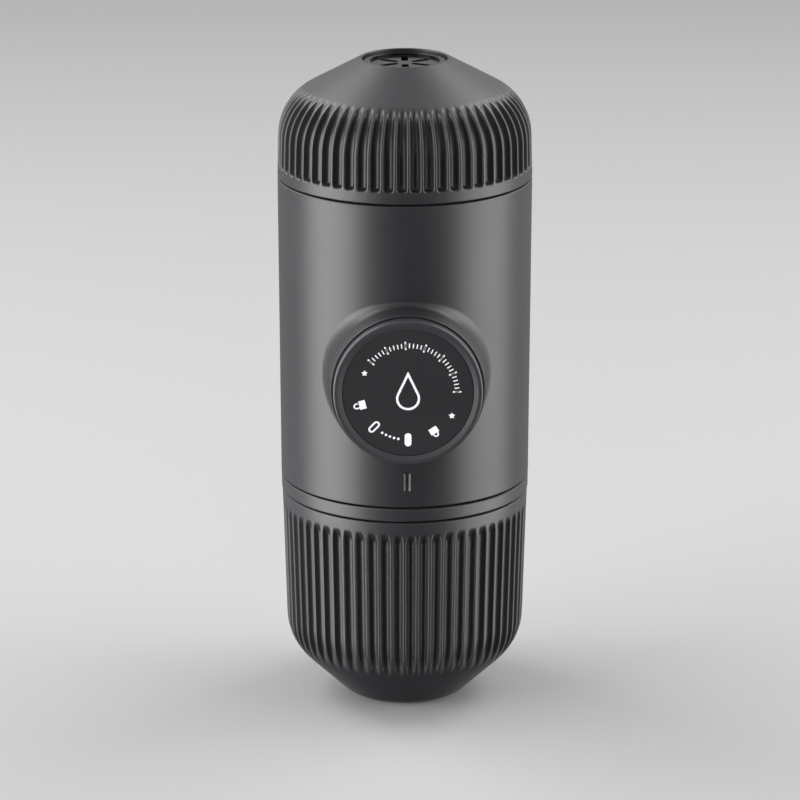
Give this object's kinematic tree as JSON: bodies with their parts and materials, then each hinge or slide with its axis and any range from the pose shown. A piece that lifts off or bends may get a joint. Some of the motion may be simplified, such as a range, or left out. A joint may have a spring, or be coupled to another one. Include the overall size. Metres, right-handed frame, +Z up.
{
  "type": "handheld manual espresso maker",
  "caption": "Standing capsule-shaped hand pump espresso maker: ribbed screw-on spout dome over a filter basket, side pump knob, screw-in water tank nested in a ribbed cup.",
  "frame": {"origin": "middle of the cup's flat foot, on the main axis, where the maker stands", "axes": "+Z up along the main axis, -Y out of the pump knob, +X to the right when the knob is seen from the front"},
  "size_m": [0.0606, 0.0705, 0.158],
  "materials": {
    "shell_plastic": "satin, fine grain",
    "knob_plastic": "satin",
    "face_plastic": "dark, half gloss",
    "spout_plastic": "black, gloss",
    "tank_plastic": "satin",
    "pump_plastic": "moulded",
    "stainless_steel": "fine brushed",
    "spring_steel": "drawn wire",
    "black_rubber": "matt",
    "grey_silicone": "matt"
  },
  "bodies": {
    "housing": {"main_housing": "shell_plastic", "pump_block": "pump_plastic", "cylinder_liner": "stainless_steel", "rod_bush": "pump_plastic", "guide_sleeve": "pump_plastic", "guide_screws": "stainless_steel", "return_spring": "spring_steel", "group_seal": "black_rubber", "shower_screen": "stainless_steel", "shower_screw": "stainless_steel", "group_gasket": "grey_silicone", "pump_base": "pump_plastic", "pump_base_screws": "stainless_steel", "inlet_strainer": "stainless_steel", "inlet_valve_seat": "pump_plastic", "inlet_valve_spring": "spring_steel", "outlet_valve_seat": "pump_plastic", "outlet_valve_spring": "spring_steel", "outlet_valve_cap": "pump_plastic"},
    "inlet_ball": {"inlet_valve_ball": "stainless_steel"},
    "outlet_ball": {"outlet_valve_ball": "stainless_steel"},
    "piston": {"piston_rod": "stainless_steel", "piston_seal": "black_rubber", "spring_washer": "stainless_steel", "knob_clip": "spring_steel"},
    "pump_knob": {"knob": "knob_plastic", "knob_face": "face_plastic"},
    "basket": {"filter_basket": "stainless_steel"},
    "head_seal": {"head_gasket": "grey_silicone"},
    "head": {"outlet_head": "shell_plastic", "spout_insert": "spout_plastic"},
    "tank_seal": {"tank_gasket": "grey_silicone"},
    "tank": {"water_tank": "tank_plastic", "tank_vent_valve": "grey_silicone", "cup_grip_ring": "black_rubber"},
    "drinking_cup": {"cup": "shell_plastic"}
  },
  "joints": [
    {"name": "pump_stroke", "type": "slide", "parent": "housing", "child": "piston", "axis": [0, -1, 0], "range_m": [0, 0.016], "deforming": ["return_spring"]},
    {"name": "knob_turn", "type": "hinge", "parent": "piston", "child": "pump_knob", "pos_m": [0, -0.0394, 0.0873], "axis": [0, -1, 0], "range_deg": [0, 45]},
    {"name": "head_unscrew", "type": "hinge", "parent": "head_seal", "child": "head", "pos_m": [0, 0, 0.13], "axis": [0, 0, 1], "range_deg": [0, 720]},
    {"name": "head_lift", "type": "slide", "parent": "housing", "child": "head_seal", "axis": [0, 0, 1], "range_m": [0, 0.0481]},
    {"name": "basket_lift", "type": "slide", "parent": "housing", "child": "basket", "axis": [0, 0, 1], "range_m": [0, 0.0241]},
    {"name": "tank_unscrew", "type": "hinge", "parent": "tank_seal", "child": "tank", "pos_m": [0, 0, 0.0555], "axis": [0, 0, -1], "range_deg": [0, 720]},
    {"name": "tank_drop", "type": "slide", "parent": "housing", "child": "tank_seal", "axis": [0, 0, -1], "range_m": [0, 0.0481]},
    {"name": "cup_pull", "type": "slide", "parent": "tank", "child": "drinking_cup", "axis": [0, 0, -1], "range_m": [0, 0.06]},
    {"name": "inlet_ball_lift", "type": "slide", "parent": "housing", "child": "inlet_ball", "axis": [0, 0, 1], "range_m": [0, 0.0012], "stiffness_N_per_m": 10, "deforming": ["inlet_valve_spring"]},
    {"name": "outlet_ball_lift", "type": "slide", "parent": "housing", "child": "outlet_ball", "axis": [0, 0, 1], "range_m": [0, 0.0012], "stiffness_N_per_m": 10, "deforming": ["outlet_valve_spring"]}
  ],
  "couplings": [
    {"joint": "head_lift", "follows": "head_unscrew", "m_per_rad": 0.0038197},
    {"joint": "basket_lift", "follows": "head_unscrew", "m_per_rad": 0.0019099},
    {"joint": "tank_drop", "follows": "tank_unscrew", "m_per_rad": 0.0038197}
  ]
}
